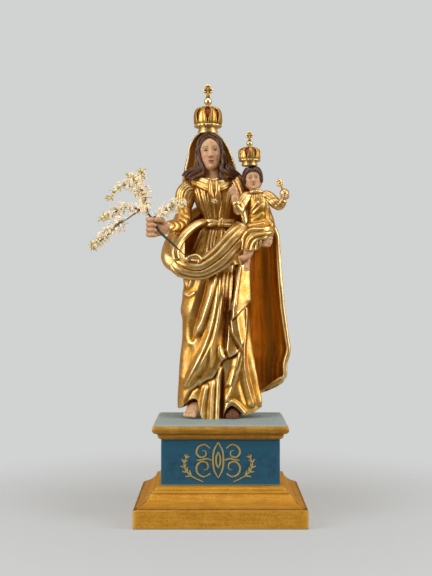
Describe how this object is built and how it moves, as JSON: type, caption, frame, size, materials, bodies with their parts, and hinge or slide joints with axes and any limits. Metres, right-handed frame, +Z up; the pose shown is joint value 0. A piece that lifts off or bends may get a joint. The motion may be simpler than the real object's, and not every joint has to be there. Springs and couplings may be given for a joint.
{
  "type": "wooden madonna and child statue",
  "caption": "Carved and gilded standing Madonna carrying the crowned Child, holding a blossom spray, on a moulded blue and gold plinth.",
  "frame": {"origin": "centre of the plinth's underside", "axes": "+Z up, both figures face -Y, +X towards the side of the Child"},
  "size_m": [0.2891, 0.196, 0.6046],
  "materials": {
    "burnished_gold": "burnished water gilding on carved wood, bright on the high folds and amber where the red ground shows through",
    "worn_gilding": "satin worn gilding with the brown ground showing in the hollows and along the edges",
    "amber_lacquer": "gold glazed with amber lacquer on the lining of the mantle",
    "blue_paint": "matte blue paint with worn corners and gilded scrollwork",
    "flesh_paint": "satin painted flesh, a little dirty in the hollows",
    "hair_paint": "glossy dark brown painted hair",
    "red_paint": "dark red painted cap inside the crowns",
    "bare_wood": "dark bare worn wood where the foot is broken",
    "dried_blossom": "dry papery cream blossoms on thin brown stems"
  },
  "bodies": {
    "root": {"plinth_foot": "worn_gilding", "plinth_die": "blue_paint", "plinth_cap": "worn_gilding", "madonna_figure": "burnished_gold", "child_figure": "burnished_gold", "madonna_crown": "burnished_gold", "child_crown": "burnished_gold", "globe_and_cross": "burnished_gold", "blossom_spray": "dried_blossom"}
  },
  "joints": []
}
